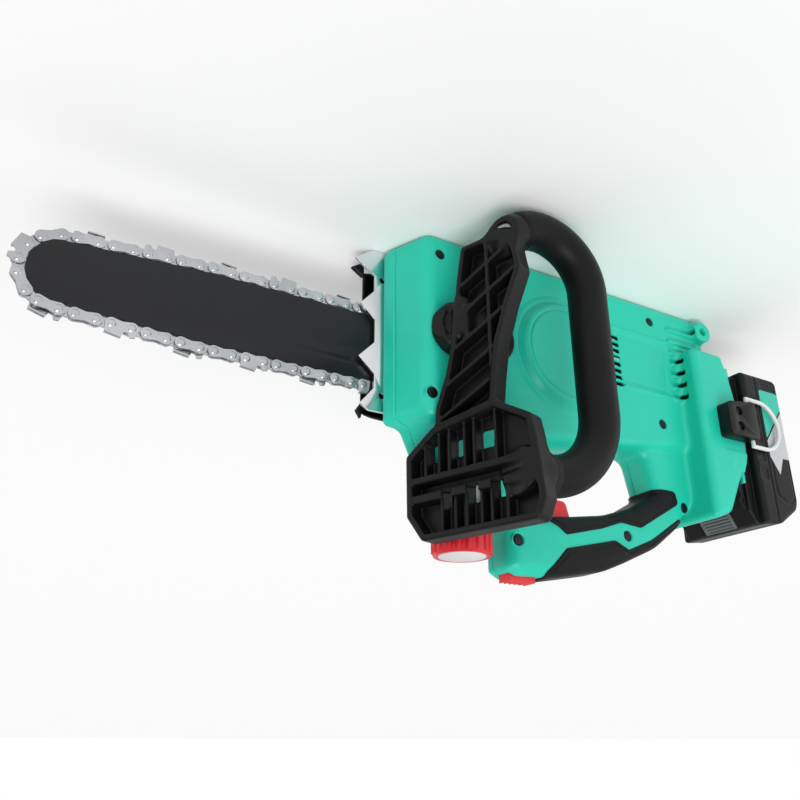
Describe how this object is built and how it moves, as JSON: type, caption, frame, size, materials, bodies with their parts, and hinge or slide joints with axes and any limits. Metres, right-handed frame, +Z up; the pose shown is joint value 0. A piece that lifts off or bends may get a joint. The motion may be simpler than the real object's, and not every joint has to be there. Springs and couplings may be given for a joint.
{
  "type": "chainsaw",
  "caption": "Cordless chainsaw with closed top handle, side loop handle and hand guard, guide bar and chain on a spiked bumper, gear drive, oil tank and slide-on rear battery.",
  "frame": {"origin": "on the flat underside, below the drive sprocket's axis, in the middle plane of the rear handle", "axes": "+X along the guide bar to its nose, +Z up from the underside, +Y towards the bar and away from the loop handle"},
  "size_m": [0.5381, 0.1412, 0.2161],
  "materials": {
    "teal_shell": "moulded, fine grain",
    "black_plastic": "moulded, satin",
    "rubber_grip": "soft, fine texture",
    "red_plastic": "moulded, semi gloss",
    "grey_plastic": "moulded, satin",
    "white_plastic": "moulded, semi gloss",
    "tank_plastic": "translucent white",
    "rubber_seal": "plain",
    "steel": "machined",
    "polished_steel": "pressed, polished",
    "chain_steel": "stamped, oiled",
    "dark_steel": "black oxide",
    "bar_paint": "satin dark grey",
    "alloy": "die cast",
    "copper": "enamelled wire",
    "wire_sleeve": "insulation",
    "cell_wrap": "shrink wrap",
    "board": "circuit board"
  },
  "bodies": {
    "saw": {"housing_near": "teal_shell", "housing_far": "teal_shell", "motor_cover": "teal_shell", "top_grip": "rubber_grip", "lower_grip": "rubber_grip", "housing_screws": "steel", "spiked_bumper": "polished_steel", "sprocket_cover": "black_plastic", "bar_studs": "dark_steel", "gear_case": "alloy", "gear_cover": "alloy", "shaft_bearings": "steel", "motor_stator": "alloy", "stator_coils": "copper", "controller": "black_plastic", "wiring": "wire_sleeve", "oil_tank": "tank_plastic", "oil_pump": "alloy", "oil_line": "rubber_seal", "switch_module": "black_plastic", "trigger_pin": "steel", "trigger_spring": "steel", "lock_off_spring": "steel", "battery_terminals": "black_plastic", "ring_bracket": "black_plastic", "bracket_screws": "dark_steel", "guard_frame": "black_plastic", "handle_tube": "steel", "handle_sleeve": "rubber_grip", "handle_bolts": "dark_steel"},
    "bar": {"bar_plates": "bar_paint", "bar_core": "dark_steel", "chain_drive_links": "chain_steel", "chain_tie_straps": "chain_steel", "chain_cutters": "chain_steel", "tension_block": "steel"},
    "nose": {"nose_sprocket": "steel"},
    "tensioner": {"tension_screw": "dark_steel"},
    "knob_ring": {"knob_washer": "steel"},
    "knob": {"cover_knob": "black_plastic"},
    "drive": {"output_shaft": "dark_steel", "drive_sprocket": "steel", "sprocket_clip": "dark_steel", "output_gear": "dark_steel"},
    "middle": {"middle_shaft": "dark_steel", "middle_gears": "dark_steel"},
    "rotor": {"motor_shaft": "dark_steel", "motor_rotor": "dark_steel", "cooling_fan": "black_plastic"},
    "trigger": {"trigger": "red_plastic"},
    "lock": {"lock_off": "red_plastic"},
    "cap_ring": {"cap_seal": "rubber_seal"},
    "cap": {"oil_cap": "red_plastic", "cap_disc": "white_plastic"},
    "battery": {"battery_case_front": "black_plastic", "battery_case_back": "black_plastic", "battery_cells": "cell_wrap", "battery_board": "board"},
    "release": {"battery_button": "grey_plastic"},
    "ring": {"d_ring": "white_plastic"}
  },
  "joints": [
    {"name": "chain_tension", "type": "slide", "parent": "saw", "child": "bar", "axis": [1, 0, 0], "range_m": [-0.002, 0]},
    {"name": "tension_turn", "type": "hinge", "parent": "saw", "child": "tensioner", "pos_m": [0.04, 0.033, 0.058], "axis": [1, 0, 0], "range_deg": [-900, 0]},
    {"name": "nose_spin", "type": "hinge", "parent": "bar", "child": "nose", "pos_m": [0.2515, 0.023, 0.071], "axis": [0, 1, 0], "continuous": true},
    {"name": "knob_lift", "type": "slide", "parent": "saw", "child": "knob_ring", "axis": [0, 1, 0], "range_m": [0, 0.0025]},
    {"name": "knob_turn", "type": "hinge", "parent": "knob_ring", "child": "knob", "pos_m": [0.034, 0.049, 0.071], "axis": [0, 1, 0], "range_deg": [0, 720]},
    {"name": "drive_spin", "type": "hinge", "parent": "saw", "child": "drive", "pos_m": [0, 0.023, 0.071], "axis": [0, 1, 0], "continuous": true},
    {"name": "middle_spin", "type": "hinge", "parent": "saw", "child": "middle", "pos_m": [-0.03032, 0.005, 0.05973], "axis": [0, 1, 0], "continuous": true},
    {"name": "rotor_spin", "type": "hinge", "parent": "saw", "child": "rotor", "pos_m": [-0.061, -0.01, 0.063], "axis": [0, 1, 0], "continuous": true},
    {"name": "trigger_pull", "type": "hinge", "parent": "saw", "child": "trigger", "pos_m": [-0.07, 0, 0.1895], "axis": [0, -1, 0], "range_deg": [0, 9], "stiffness_Nm_per_rad": 0.3, "springref_deg": -5.73},
    {"name": "lock_press", "type": "slide", "parent": "saw", "child": "lock", "axis": [0, 0, -1], "range_m": [0, 0.003], "stiffness_N_per_m": 400, "springref_m": -0.001, "deforming": ["lock_off_spring"]},
    {"name": "cap_lift", "type": "slide", "parent": "saw", "child": "cap_ring", "axis": [0, 0, 1], "range_m": [0, 0.006]},
    {"name": "cap_turn", "type": "hinge", "parent": "cap_ring", "child": "cap", "pos_m": [0.0134, 0, 0.19], "axis": [0, 0, 1], "range_deg": [0, 720]},
    {"name": "battery_slide", "type": "slide", "parent": "saw", "child": "battery", "axis": [0, 0, 1], "range_m": [0, 0.095]},
    {"name": "release_press", "type": "slide", "parent": "battery", "child": "release", "axis": [-0.8192, 0, -0.5736], "range_m": [0, 0.0025], "stiffness_N_per_m": 500, "springref_m": -0.001},
    {"name": "ring_swing", "type": "hinge", "parent": "saw", "child": "ring", "pos_m": [-0.2145, -0.0406, 0.0895], "axis": [0, 0, 1], "range_deg": [0, 100]}
  ],
  "couplings": [
    {"joint": "tension_turn", "follows": "chain_tension", "rad_per_m": 7854},
    {"joint": "knob_lift", "follows": "knob_turn", "m_per_rad": 0.00019894},
    {"joint": "middle_spin", "follows": "drive_spin", "ratio": -2.0714},
    {"joint": "rotor_spin", "follows": "drive_spin", "ratio": 5.006},
    {"joint": "nose_spin", "follows": "drive_spin", "ratio": 0.75},
    {"joint": "cap_lift", "follows": "cap_turn", "m_per_rad": 0.00047746}
  ]
}
